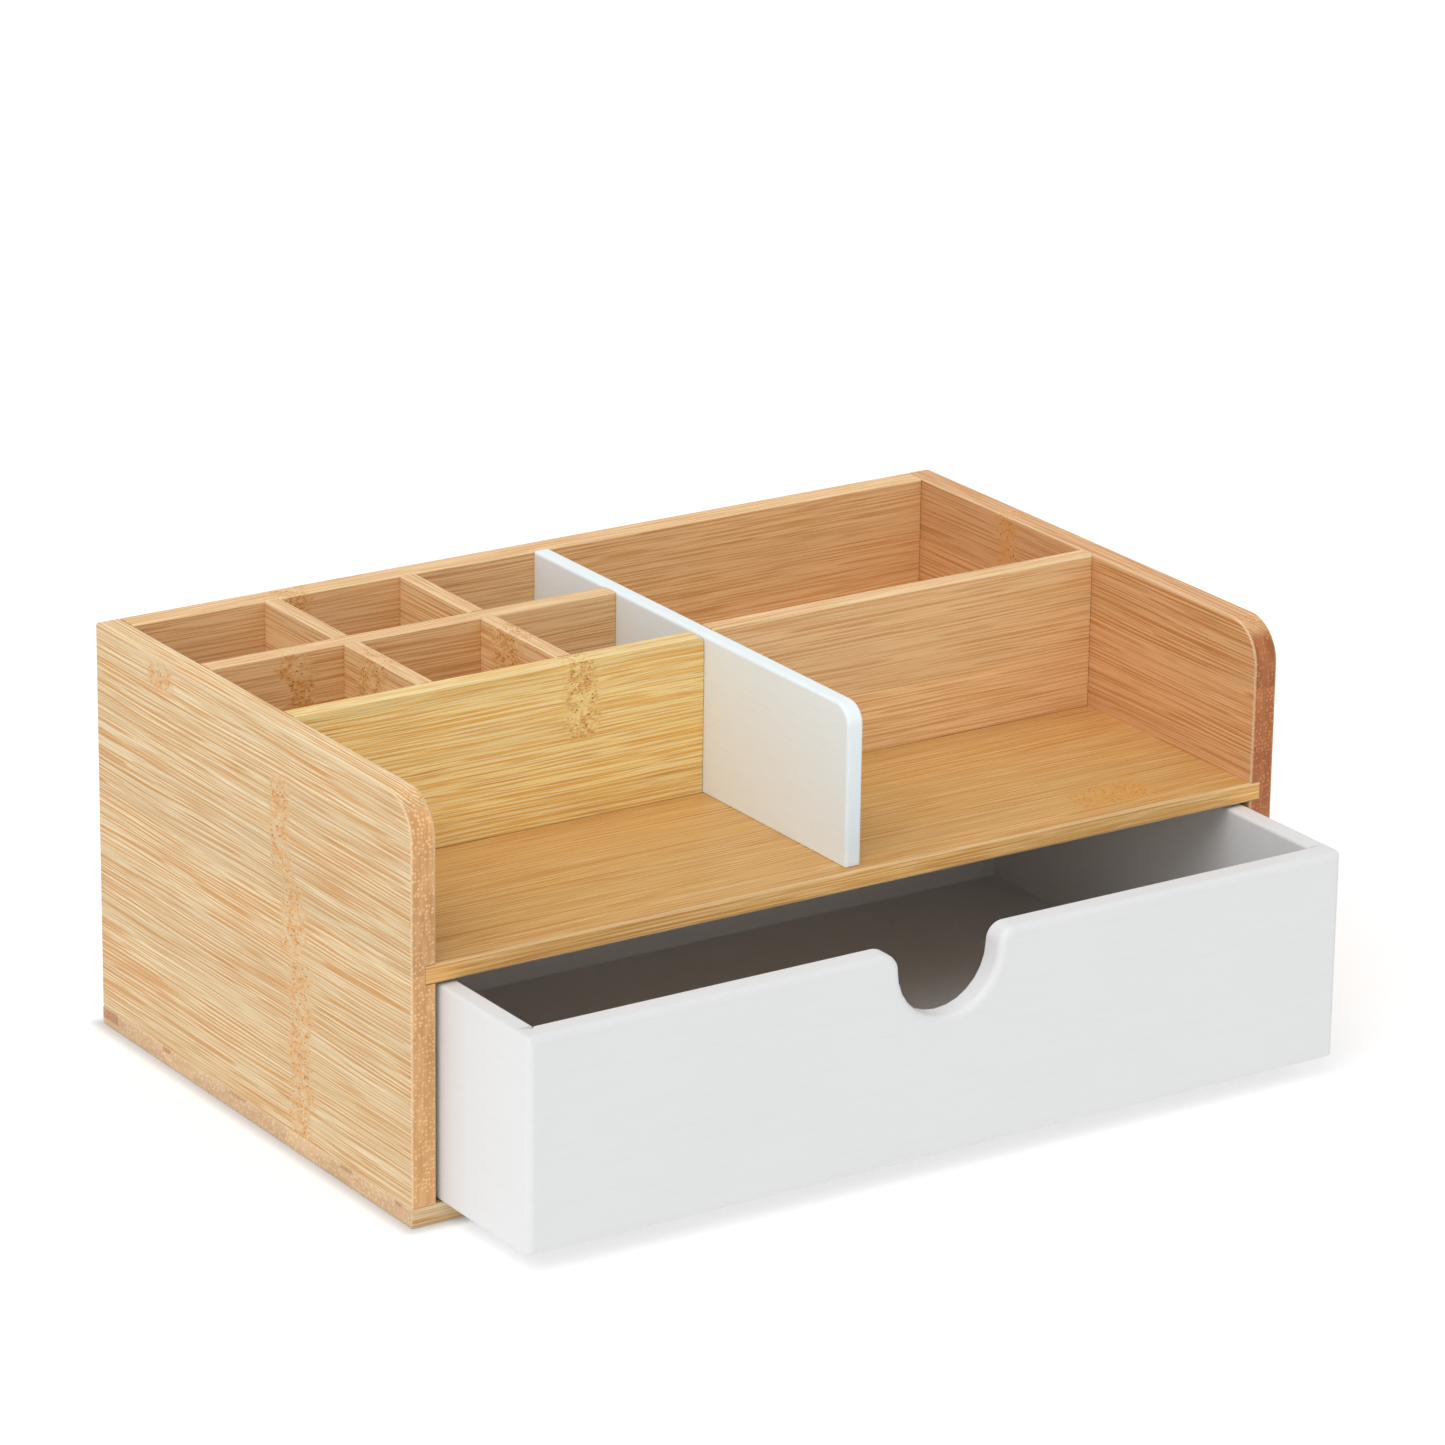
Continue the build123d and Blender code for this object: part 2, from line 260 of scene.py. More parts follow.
class Grain:
    """A board's directions in millimetres, its strips, and the random shifts that tell them apart."""

    def __init__(self, sheet, where, axes, seed):
        self.sheet = sheet
        self.seed = seed
        self.along, self.across, self.through = directions(sheet, where, axes)
        strip_width = bpy.context.scene.organizer_sizes.strip_width * PER_MM
        self.strip_place = self.across / strip_width + seed * 0.37
        self.strip = self.strip_place.floor()
        self.tone, slide = sheet.dice(self.strip + seed * 17.0)[:2]
        self.shift = slide * 173.0 + seed * 31.0
        self.wobble = self.drawn(WOBBLE_PITCH, seed)
        self.lane = self.across + (self.wobble - 0.5) * WOBBLE_WIDTH

    def drawn(self, pitch, offset, slide=0.0, detail=1.0, roughness=0.55, side=None):
        """Noise drawn out along the grain."""
        length, width = pitch
        side = self.across if side is None else side
        return self.sheet.noise(
            self.along * length + slide, side * width, self.through * width + offset, detail, roughness
        )


def knuckle_mask(grain, knuckles):
    """1 inside the knuckles, with wandering and frayed outlines, or None without knuckles."""
    if not knuckles:
        return None
    fray = grain.drawn(FRAY_PITCH, grain.seed, detail=2.0)
    mask = None
    for spot, level, half_length, half_width in knuckles:
        centre_gap = abs(grain.along - spot - (grain.wobble - 0.5) * KNUCKLE_WANDER)
        gap = centre_gap + (fray - 0.5) * KNUCKLE_FRAY
        reach = abs(grain.across - level)
        inside = reach.fall(half_width - KNUCKLE_END_IN, half_width + KNUCKLE_END_OUT)
        here = gap.fall(half_length * KNUCKLE_CORE, half_length) * inside
        mask = here if mask is None else mask.larger(here)
    return mask


def fibre_colour(grain, pale, streak, calm, contrast, glints):
    """The long fibres' colour, and the relief that they give the surface."""
    sheet, seed, shift, lane = grain.sheet, grain.seed, grain.shift, grain.lane
    tones = bpy.context.scene.organizer_bamboo
    broad = grain.drawn(BROAD_PITCH, seed, shift, 2.0, 0.6, lane).rise(*BROAD_STEP)
    fibre = grain.drawn(FIBRE_PITCH, seed, shift, side=lane).rise(*FIBRE_STEP) * calm
    hair = grain.drawn(HAIR_PITCH, -seed, -1 * shift, side=lane).rise(*HAIR_STEP) * calm
    glint = grain.drawn(GLINT_PITCH, seed * 3.0 + 40.0, shift, side=lane).rise(*GLINT_STEP) * calm
    crowd = grain.drawn(CROWD_PITCH, seed, shift, 2.0).rise(*CROWD_STEP)

    drift = grain.drawn(DRIFT_PITCH, -seed, side=lane)
    thread = (lane + grain.through) * THREADS_PER_MM + drift * THREAD_DRIFT
    number = thread.floor()
    slide = sheet.dice(number + seed * 5.0)[0]
    run = sheet.noise(grain.along * RUN_PITCH + slide * 97.0, number * 0.37, seed, 1.0)
    running = run.rise(*RUN_STEP) * calm
    off_core = abs(thread.fract() - 0.5)
    core = running * off_core.fall(*CORE_STEP)
    verge = running * off_core.rise(*VERGE_STEP)

    colour = sheet.mix(broad * (0.12 * contrast), pale, streak)
    colour = sheet.mix(glint.larger(verge) * (0.60 * contrast * glints), colour, rgba(tones.light_fleck_and_edge_highlight))
    colour = sheet.mix(fibre * (crowd * 0.30 + 0.40) * contrast, colour, streak)
    colour = sheet.mix(core * (crowd * 0.25 + 0.75) * contrast, colour, streak)
    colour = sheet.mix(hair * (crowd * 0.30 + 0.38) * contrast, colour, rgba(tones.fine_line))
    colour = sheet.shade(colour, grain.tone * 0.08 + crowd * 0.05 + 0.925)
    seam = abs(grain.strip_place.fract() - 0.5).rise(0.490, 0.5)
    colour = sheet.shade(colour, 1 - seam * 0.08)
    return colour, fibre, fibre * 0.4 + hair * 0.3 + core * 0.5


def knuckle_colour(grain, knot, colour):
    """Tint, flakes, short cracks and dark pores where a cane joint crosses the strips."""
    sheet, seed = grain.sheet, grain.seed
    tones = bpy.context.scene.organizer_bamboo
    flake = grain.drawn(FLAKE_PITCH, seed, detail=2.0, roughness=0.6).rise(*FLAKE_STEP)
    cloud = grain.drawn(CLOUD_PITCH, seed).rise(*CLOUD_STEP)
    crack = grain.drawn(CRACK_PITCH, -seed).rise(*CRACK_STEP)
    length, width = PORE_PITCH
    pore = sheet.cells(grain.along * length, grain.across * width, grain.through * width - seed)
    colour = sheet.mix(knot * cloud * 0.30, colour, rgba(tones.knuckle))
    colour = sheet.mix(knot * flake * (cloud * 0.45 + 0.35), colour, rgba(tones.knuckle))
    colour = sheet.mix(knot * crack * (cloud * 0.5 + 0.2), colour, rgba(tones.knuckle_dash))
    return sheet.mix(knot * pore.fall(*PORE_STEP) * 0.85, colour, rgba(tones.knuckle_dot))


def end_grain(grain, pale, dark, stains):
    """Colour of the end grain, and the mesh between its fibre bundles."""
    sheet, seed, across, through = grain.sheet, grain.seed, grain.across, grain.through
    cells = sheet.cells(across * BUNDLE_PITCH, through * BUNDLE_PITCH, seed, BUNDLE_JITTER)
    mesh = cells.rise(*MESH_STEP)
    depth = sheet.noise(across * 0.05, through * 0.25, seed + grain.strip, 1.0).rise(*DEPTH_STEP)
    rings = sheet.noise(across * 0.10, through * 0.9, seed * 2.0, 2.0).rise(*RINGS_STEP)
    colour = sheet.mix(mesh * (depth * 0.25 + 0.38), pale, dark)
    colour = sheet.mix(rings * 0.25, colour, dark)
    colour = sheet.shade(colour, grain.tone * 0.16 + 0.92)
    stain_colour = rgba(bpy.context.scene.organizer_bamboo.stain)
    for spot, half_width, level in stains:
        beside = abs(across - spot).fall(half_width - STAIN_SOFTNESS, half_width)
        above = through.rise(level - STAIN_LEVEL_SOFTNESS, level + STAIN_LEVEL_SOFTNESS)
        colour = sheet.mix(beside * above * 0.60, colour, stain_colour)
    return colour, mesh


def finish_shader(sheet, shader, colour, roughness, specular, height, strength, depth):
    """Feed the shader its colour and roughness, and the bump of its fine relief."""
    bump = sheet.node("ShaderNodeBump", None, {"Strength": strength, "Distance": depth, "Height": height})
    inputs = {
        "Base Color": colour,
        "Roughness": roughness,
        "Specular IOR Level": specular,
        "Normal": bump.outputs["Normal"],
    }
    for key, value in inputs.items():
        sheet.feed(shader.inputs[key], value)


def bamboo(
    name, hue, axes, seed, knuckles=(), ends="end", contrast=1.0, glints=1.0, edge_lift=1.0, stains=()
):
    """Laminated bamboo. axes names the board's directions: along the grain, across it, through it.

    hue and ends name its colours in the settings.
    A knuckle is the patch that a joint of the cane leaves on the strips. It is given by its place
    along and across the grain and its half length and half width, in millimetres.
    A stain is a brown mark on the end grain: its place across the grain, its half width and the
    level through the board above which it shows, in millimetres.
    """
    tones = bpy.context.scene.organizer_bamboo
    keys = (f"{hue}_pale", f"{hue}_streak", f"{ends}_pale", f"{ends}_dark")
    pale, streak, end_pale, end_dark = (rgba(getattr(tones, key)) for key in keys)
    material, sheet, shader = new_material(name)
    where = sheet.node("ShaderNodeTexCoord")
    grain = Grain(sheet, where, axes, seed)
    knot = knuckle_mask(grain, knuckles)
    calm = 1.0 if knot is None else 1 - knot * KNUCKLE_CALM
    colour, fibre, relief = fibre_colour(grain, pale, streak, calm, contrast, glints)
    if knot is not None:
        colour = knuckle_colour(grain, knot, colour)

    facing = dict(zip("XYZ", sheet.split(where.outputs["Normal"])))
    end_face = abs(facing[axes[0]]).rise(*END_FACE_STEP)
    edge_face = abs(facing[axes[1]]).rise(*EDGE_FACE_STEP)
    lean = abs(facing[axes[2]])
    # A painted highlight on the eased edges, where the normal leans part way off the face.
    painted_edge_highlight = lean.rise(*EDGE_HIGHLIGHT_FROM) * lean.fall(*EDGE_HIGHLIGHT_TO)
    end_colour, mesh = end_grain(grain, end_pale, end_dark, stains)
    colour = sheet.shade(colour, edge_face * (edge_lift - 1.0) + 1.0)
    colour = sheet.mix(end_face, colour, end_colour)
    # The painted edge highlight is mixed into the colour here.
    colour = sheet.mix(painted_edge_highlight * 0.35, colour, rgba(tones.light_fleck_and_edge_highlight))

    height = 1 - (relief * (1 - end_face) + mesh * end_face)
    roughness = 0.46 + fibre * 0.10 + end_face * 0.12
    finish_shader(sheet, shader, colour, roughness, 0.38, height, 0.35, 0.12 * MM)
    return material


PAINT_GRAIN_PITCH, PAINT_GRAIN_STEP = (0.035, 1.3), (0.45, 0.70)
PAINT_CLOUD_PITCH = 0.02
SPECK_PITCH, SPECK_STEP = (0.22, 0.30), (0.03, 0.07)
PEEL_PITCH = 0.9


def white_paint(name, colour, axes, seed):
    """Satin white paint over wood, with the grain just showing through."""
    paint = bpy.context.scene.organizer_paint
    material, sheet, shader = new_material(name)
    along, across, through = directions(sheet, sheet.node("ShaderNodeTexCoord"), axes)
    length, width = PAINT_GRAIN_PITCH
    grain = sheet.noise(along * length + seed, across * width, through * width, 4.0, 0.62)
    grain_mask = grain.rise(*PAINT_GRAIN_STEP)
    length, width = SPECK_PITCH
    speck = sheet.cells(along * length, across * width, through * width + seed).fall(*SPECK_STEP)
    cloud, peel = (
        sheet.noise(along * pitch, across * pitch, through * pitch + seed, 2.0)
        for pitch in (PAINT_CLOUD_PITCH, PEEL_PITCH)
    )
    tint = sheet.mix(grain_mask * paint.grain_show, rgba(colour), rgba(paint.grain_tint))
    tint = sheet.mix(speck * 0.25, tint, rgba(paint.grain_tint))
    tint = sheet.shade(tint, cloud * 0.03 + 0.985)

    height = 1 - (grain_mask * 0.6 + peel * 0.25)
    finish_shader(sheet, shader, tint, paint.roughness + grain * 0.12, 0.42, height, 0.30, 0.10 * MM)
    return material


# ---------------------------------------------------------------- mesh writing


def corner_arc(centre, radius, start, sweep):
    """Points of an arc in a plane, from start over sweep, both in degrees."""
    points = []
    for step in range(ARC_STEPS + 1):
        angle = math.radians(start + sweep * step / ARC_STEPS)
        points.append((centre[0] + radius * math.cos(angle), centre[1] + radius * math.sin(angle)))
    return points


def prism(name, outline, axis, low, high):
    """A closed prism: the outline lies in the plane across axis, in the order X, Y, Z."""
    mesh = bpy.data.meshes.new(name)
    work = bmesh.new()

    def corner(point, level):
        spot = list(point)
        spot.insert("XYZ".index(axis), level)
        return work.verts.new(spot)

    near = [corner(point, low) for point in outline]
    far = [corner(point, high) for point in outline]
    work.faces.new(near)
    work.faces.new(reversed(far))
    count = len(outline)
    for index in range(count):
        following = (index + 1) % count
        work.faces.new((near[following], near[index], far[index], far[following]))
    bmesh.ops.recalc_face_normals(work, faces=work.faces)
    work.to_mesh(mesh)
    work.free()
    piece = bpy.data.objects.new(name, mesh)
    bpy.context.scene.collection.objects.link(piece)
    return piece


def block(name, low, high):
    """A closed rectangular board between two corners."""
    outline = [(low[0], low[1]), (high[0], low[1]), (high[0], high[1]), (low[0], high[1])]
    return prism(name, outline, "Z", low[2], high[2])


def on_plane(ends, axis, level):
    """Whether both ends of an edge lie at a level on an axis."""
    return all(abs(end[axis] - level) < FIT_TOLERANCE for end in ends)


def ease_edges(piece, widest, width_of):
    """Round a board's sharp edges. width_of gives the rounding of an edge from its two ends."""
    mesh = piece.data
    work = bmesh.new()
    work.from_mesh(mesh)
    weight = work.edges.layers.float.new("bevel_weight_edge")
    for edge in work.edges:
        if edge.calc_face_angle(0.0) > ARC_ANGLE:
            edge[weight] = width_of([vert.co for vert in edge.verts]) / widest
    work.to_mesh(mesh)
    work.free()
    bevel = piece.modifiers.new("Eased edges", "BEVEL")
    bevel.limit_method = "WEIGHT"
    bevel.width = widest
    bevel.segments = BEVEL_STEPS
    bevel.use_clamp_overlap = True


def cut(piece, low, high):
    """Cut a rectangular groove out of a piece, and return the cutter."""
    tool = block("groove_cutter", low, high)
    groove = piece.modifiers.new("Groove", "BOOLEAN")
    groove.operation = "DIFFERENCE"
    groove.solver = "EXACT"
    groove.object = tool
    return tool


def set_down(piece, tools=()):
    """Turn a piece with modifiers into a plain mesh and remove the cutters."""
    deps = bpy.context.evaluated_depsgraph_get()
    solid = bpy.data.meshes.new_from_object(piece.evaluated_get(deps))
    piece.modifiers.clear()
    old = piece.data
    piece.data = solid
    solid.name = piece.name
    bpy.data.meshes.remove(old)
    for tool in tools:
        shape = tool.data
        bpy.data.objects.remove(tool)
        bpy.data.meshes.remove(shape)


def hand_over(piece, body, material, nodes):
    """Smooth a finished piece, give it its finish, tie it to its body and hide the nodes that it stands for.
    """
    for face in piece.data.polygons:
        face.use_smooth = True
    piece.data.set_sharp_from_angle(angle=SHARP_ANGLE)
    piece.data.materials.clear()
    piece.data.materials.append(material)
    normals = piece.modifiers.new("Even shading", "WEIGHTED_NORMAL")
    normals.keep_sharp = True
    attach(piece, body)
    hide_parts(*nodes)


def jointed(low, high, marks, ease, joint_ease):
    """Rounding for a board's edges: less round the joined faces, which marks name '-Z' or '+X'."""
    planes = []
    for side, letter in marks:
        axis = "XYZ".index(letter)
        planes.append((axis, (low if side == "-" else high)[axis]))

    def width_of(ends):
        joined = any(on_plane(ends, axis, level) for axis, level in planes)
        return joint_ease if joined else ease

    return width_of


def board(name, body, material, ease, marks=(), joint_ease=None):
    """Make a rectangular board with eased edges in place of its node."""
    if joint_ease is None:
        joint_ease = bpy.context.scene.organizer_sizes.joint_ease
    low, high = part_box(name)
    piece = block(f"{name}_board", low, high)
    ease_edges(piece, ease, jointed(low, high, marks, ease, joint_ease))
    set_down(piece)
    hand_over(piece, body, material, [name])


def rounded_panel(name, radius, ease, marks):
    """An upright panel across X, with its front top corner rounded and its edges eased."""
    low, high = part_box(name)
    outline = [(low[1], low[2])]
    outline += corner_arc((low[1] + radius, high[2] - radius), radius, 180.0, -90.0)
    outline += [(high[1], high[2]), (high[1], low[2])]
    piece = prism(f"{name}_board", outline, "X", low[0], high[0])
    joint_ease = bpy.context.scene.organizer_sizes.joint_ease
    ease_edges(piece, ease, jointed(low, high, marks, ease, joint_ease))
    return piece


# ---------------------------------------------------------------- settings


def length_setting(name, default, description):
    return FloatProperty(
        name=name, description=description, default=default, min=0.0, subtype="DISTANCE", unit="LENGTH"
    )


def amount_setting(name, default, description):
    return FloatProperty(name=name, description=description, default=default, min=0.0)


def angle_setting(name, degrees, description):
    return FloatProperty(name=name, description=description, default=math.radians(degrees), subtype="ANGLE")


def share_setting(name, default, description):
    return FloatProperty(
        name=name, description=description, default=default, min=0.0, max=1.0, subtype="FACTOR"
    )


def colour_setting(name, default, description):
    return FloatVectorProperty(
        name=name, description=description, default=default, size=3, min=0.0, max=1.0, subtype="COLOR"
    )


class OrganizerSizes(bpy.types.PropertyGroup):
    """Sizes of the edges, corners, strips and dowels."""

    edge_ease: length_setting("Edge ease", 0.0009, "Rounding of the bamboo boards' open edges")
    joint_ease: length_setting("Joint ease", 0.0004, "Rounding of edges that meet another board")
    paint_ease: length_setting("Painted edge", 0.0012, "Rounding of the painted boards' edges")
    front_ease: length_setting("Drawer front edge", 0.0026, "Rounding of the drawer front's outer edges")
    side_corner: length_setting("Side corner", 0.014, "Radius of the side panels' front top corner")
    divider_corner: length_setting("Divider corner", 0.007, "Radius of the white divider's front top corner")
    wall_end: length_setting("Wall end", 0.003, "Radius of the front pen wall's top corner")
    notch_radius: length_setting("Notch radius", 0.019, "Radius of the finger notch")
    notch_depth: length_setting("Notch depth", 0.025, "Depth of the finger notch")
    strip_width: length_setting("Strip width", 0.020, "Width of one bamboo strip")
    case_dowel: length_setting("Case dowel radius", 0.003, "Radius of the case's dowels")
    drawer_dowel: length_setting("Drawer dowel radius", 0.002, "Radius of the drawer's dowels")
    case_dowel_length: length_setting("Case dowel length", 0.024, "Length across the case")
    drawer_dowel_length: length_setting("Drawer dowel length", 0.018, "Length across the drawer")


class OrganizerBamboo(bpy.types.PropertyGroup):
    """Colours of the bamboo."""

    honey_pale: colour_setting("Honey", (0.685, 0.525, 0.30), "Ground of the left side and the base")
    honey_streak: colour_setting("Honey fibre", (0.58, 0.285, 0.075), "Fibres of the same boards")
    gold_pale: colour_setting("Gold", (0.94, 0.75, 0.32), "Ground of the front pen wall")
    gold_streak: colour_setting("Gold fibre", (0.80, 0.43, 0.075), "Fibres of the front pen wall")
    amber_pale: colour_setting("Amber", (0.92, 0.62, 0.32), "Ground of the back and the inner walls")
    amber_streak: colour_setting("Amber fibre", (0.66, 0.33, 0.10), "Fibres of the same boards")
    russet_pale: colour_setting("Russet", (0.74, 0.42, 0.20), "Ground of the right side")
    russet_streak: colour_setting("Russet fibre", (0.50, 0.205, 0.055), "Fibres of the right side")
    shelf_pale: colour_setting("Shelf", (0.66, 0.39, 0.13), "Ground of the shelf")
    shelf_streak: colour_setting("Shelf fibre", (0.52, 0.245, 0.055), "Fibres of the shelf")
    fine_line: colour_setting("Fine fibre", (0.50, 0.205, 0.045), "Colour of the finest dark fibres")
    # Also the colour of the painted highlight along the eased edges.
    light_fleck_and_edge_highlight: colour_setting("Light fleck", (0.88, 0.74, 0.50), "Lightens the gaps between fibres")
    knuckle: colour_setting("Knuckle", (0.66, 0.31, 0.06), "Tint where a cane joint crosses a strip")
    knuckle_dash: colour_setting("Knuckle dashes", (0.52, 0.20, 0.04), "Short dashes in a cane joint")
    knuckle_dot: colour_setting("Knuckle dots", (0.27, 0.095, 0.02), "Dark pores in a cane joint")
    end_pale: colour_setting("End grain", (0.88, 0.53, 0.245), "Ground of the end grain")
    end_dark: colour_setting("End grain mesh", (0.46, 0.20, 0.065), "Darker mesh between the fibre bundles")
    russet_end_pale: colour_setting("Russet end", (0.58, 0.22, 0.075), "End grain of the right side")
    russet_end_dark: colour_setting("Russet mesh", (0.24, 0.056, 0.014), "Mesh in the right side's end grain")
    base_end_pale: colour_setting("Base end", (0.78, 0.56, 0.34), "End grain of the base")
    base_end_dark: colour_setting("Base mesh", (0.50, 0.29, 0.14), "Mesh in the base's end grain")
    stain: colour_setting("End stain", (0.38, 0.15, 0.06), "Brown marks on the base's end grain")
    dowel_pale: colour_setting("Dowel", (0.62, 0.42, 0.24), "Ground of the raw dowels")
    dowel_streak: colour_setting("Dowel fibre", (0.50, 0.205, 0.045), "Fibres of the raw dowels")


class OrganizerPaint(bpy.types.PropertyGroup):
    """The white paint."""

    outside: colour_setting("White", (0.75, 0.755, 0.76), "Paint on the drawer")
    divider: colour_setting("Divider white", (0.835, 0.91, 0.93), "Paint on the centre divider")
    grain_tint: colour_setting("Grain tint", (0.60, 0.59, 0.57), "Colour that the grain gives the paint")
    grain_show: share_setting("Grain", 0.07, "How much grain shows through")
    roughness: share_setting("Roughness", 0.40, "Roughness of the paint")


class OrganizerStage(bpy.types.PropertyGroup):
    """Floor, light and camera."""

    azimuth: angle_setting("Azimuth", -33.52, "Camera's way round the object")
    elevation: angle_setting("Elevation", 19.22, "Camera's height angle")
    roll: angle_setting("Roll", 0.76, "Camera's tilt")
    distance: length_setting("Distance", 2.172, "From the camera to its aim")
    aim: FloatVectorProperty(
        name="Aim", description="Point that the camera looks at", default=(0.0115, 0.0, 0.1057), subtype="XYZ"
    )
    lens: FloatProperty(name="Lens", description="Focal length in millimetres", default=164.8, min=20.0)
    shift: FloatVectorProperty(
        name="Shift", description="Lens shift as a share of the width", default=(0.0036, -0.0045), size=2
    )
    floor_size: length_setting("Floor size", 16.0, "Side of the floor")
    floor_depth: length_setting("Floor depth", 0.02, "Thickness of the floor")
    floor_colour: colour_setting("Floor", (0.60, 0.60, 0.60), "Colour of the floor")
    floor_glow: amount_setting("Floor glow", 0.48, "Light that the floor gives off")
    # The shade reach and shade glow paint a soft shadow onto the floor round the case's foot.
    shade_reach: length_setting("Shade reach", 0.0065, "Width of the soft shade along the case's foot")
    shade_glow: share_setting("Shade glow", 0.20, "Share of the floor's glow that is left at the foot")
    sky: amount_setting("Sky", 0.715, "Strength of the even white surroundings")
    key: amount_setting("Key light", 1.25, "Strength of the broad overhead light")
    key_spread: angle_setting("Key spread", 50.0, "Width of the overhead light")


# ---------------------------------------------------------------- the case


BASE_EASE_SHARE = 0.7


class ORGANIZER_OT_base_panel(bpy.types.Operator):
    """Make the base panel that everything stands on"""

    bl_idname = "organizer.base_panel"
    bl_label = "Base Panel"

    def execute(self, context):
        sizes = context.scene.organizer_sizes
        finish = bamboo(
            "base_bamboo",
            "honey",
            "XYZ",
            3.0,
            ((-96.0, -60.0, 8.0, 30.0), (108.0, 20.0, 8.0, 40.0)),
            ends="base_end",
            stains=((95, 6, 2.5), (56, 3, 4.6), (9, 6, 5.4), (-60, 4, 5.2), (-92, 2.5, 5.2)),
        )
        board("base_panel", "case", finish, sizes.edge_ease * BASE_EASE_SHARE)
        return {"FINISHED"}


class ORGANIZER_OT_side_panels(bpy.types.Operator):
    """Make the two side panels with their rounded corner and their shelf dado"""

    bl_idname = "organizer.side_panels"
    bl_label = "Side Panels"

    def execute(self, context):
        sizes = context.scene.organizer_sizes
        shelf_low, shelf_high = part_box("shelf_panel")
        left_knuckles = (
            (-21.0, 108.0, 9.0, 16.0),
            (-27.0, 79.0, 9.0, 13.0),
            (-32.0, 42.0, 9.0, 24.0),
            (-29.0, 12.0, 8.0, 7.0),
            (57.0, 134.0, 9.0, 5.0),
        )
        right_knuckles = ((41.0, 125.0, 7.0, 16.0), (-20.0, 40.0, 7.0, 30.0))
        looks = {
            "left_side_panel": bamboo("left_side_bamboo", "honey", "YZX", 5.0, left_knuckles, edge_lift=1.20),
            "right_side_panel": bamboo(
                "right_side_bamboo", "russet", "YZX", 11.0, right_knuckles, "russet_end", 0.85, 0.25, 1.1
            ),
        }
        for name, finish in looks.items():
            piece = rounded_panel(name, sizes.side_corner, sizes.edge_ease, ("-Z",))
            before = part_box(name)[0].y - CUTTER_MARGIN
            tool = cut(piece, Vector((shelf_low.x, before, shelf_low.z)), shelf_high)
            set_down(piece, [tool])
            hand_over(piece, "case", finish, [name])
        return {"FINISHED"}


class ORGANIZER_OT_back_and_shelf(bpy.types.Operator):
    """Make the back panel and the shelf over the drawer"""

    bl_idname = "organizer.back_and_shelf"
    bl_label = "Back Panel and Shelf"

    def execute(self, context):
        sizes = context.scene.organizer_sizes
        back = bamboo(
            "back_bamboo",
            "amber",
            "XZY",
            21.0,
            ((-98.0, 120.0, 8.0, 22.0), (60.0, 50.0, 8.0, 40.0)),
            contrast=0.72,
            glints=0.4,
        )
        board("back_panel", "case", back, sizes.edge_ease, ("-X", "+X", "-Z"))
        shelf = bamboo(
            "shelf_bamboo",
            "shelf",
            "XYZ",
            27.0,
            ((111.0, -84.0, 20.0, 9.0), (-40.0, 30.0, 8.0, 30.0)),
            glints=0.5,
            edge_lift=1.36,
        )
        board("shelf_panel", "case", shelf, sizes.edge_ease, ("-X", "+X", "+Y"))
        return {"FINISHED"}


class ORGANIZER_OT_centre_divider(bpy.types.Operator):
    """Make the white divider with its rounded front corner"""

    bl_idname = "organizer.centre_divider"
    bl_label = "Centre Divider"

    def execute(self, context):
        paint = context.scene.organizer_paint
        sizes = context.scene.organizer_sizes
        piece = rounded_panel("centre_divider", sizes.divider_corner, sizes.paint_ease, ("-Z", "+Y"))
        set_down(piece)
        finish = white_paint("divider_white", paint.divider, "YZX", 2.0)
        hand_over(piece, "case", finish, ["centre_divider"])
        return {"FINISHED"}


class ORGANIZER_OT_long_walls(bpy.types.Operator):
    """Make the two long walls of the pen rows and the wall on the right"""

    bl_idname = "organizer.long_walls"
    bl_label = "Long Walls"

    def execute(self, context):
        sizes = context.scene.organizer_sizes
        gold_knuckles = ((-50.0, 128.0, 8.0, 15.0),)
        gold = bamboo("front_wall_bamboo", "gold", "XZY", 33.0, gold_knuckles, contrast=0.9)
        low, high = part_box("pen_front_wall")
        radius = sizes.wall_end
        outline = [(low[0], low[2]), (low[0], high[2])]
        outline += corner_arc((high[0] - radius, high[2] - radius), radius, 90.0, -90.0)
        outline += [(high[0], low[2])]
        piece = prism("pen_front_wall_board", outline, "Y", low[1], high[1])
        width_of = jointed(low, high, ("-X", "+X", "-Z"), sizes.edge_ease, sizes.joint_ease)
        ease_edges(piece, sizes.edge_ease, width_of)
        set_down(piece)
        hand_over(piece, "case", gold, ["pen_front_wall"])

        knuckles = ((-122.0, 120.0, 7.0, 20.0),)
        middle = bamboo("middle_wall_bamboo", "amber", "XZY", 39.0, knuckles, contrast=0.8, glints=0.5)
        board("pen_middle_wall", "case", middle, sizes.edge_ease, ("-X", "+X", "-Z"))
        right = bamboo("right_wall_bamboo", "amber", "XZY", 45.0, contrast=0.72, glints=0.4)
        board("right_wall", "case", right, sizes.edge_ease, ("-X", "+X", "-Z"))
        return {"FINISHED"}


def set_input(modifier, name, value):
    """Set a Geometry Nodes input by its socket's identifier."""
    for item in modifier.node_group.interface.items_tree:
        if item.item_type == "SOCKET" and item.in_out == "INPUT" and item.name == name:
            modifier[item.identifier] = value
            return
    raise RuntimeError(f"the node group has no input named {name}")


def new_tree(name, inputs):
    """A Geometry Nodes tree with named inputs, its sheet, and the inputs' sockets."""
    tree = bpy.data.node_groups.new(name, "GeometryNodeTree")
    tree.interface.new_socket("Geometry", in_out="OUTPUT", socket_type="NodeSocketGeometry")
    for label, kind in inputs:
        tree.interface.new_socket(label, in_out="INPUT", socket_type=kind)
    sheet = NodeSheet(tree)
    return tree, sheet, sheet.node("NodeGroupInput").outputs


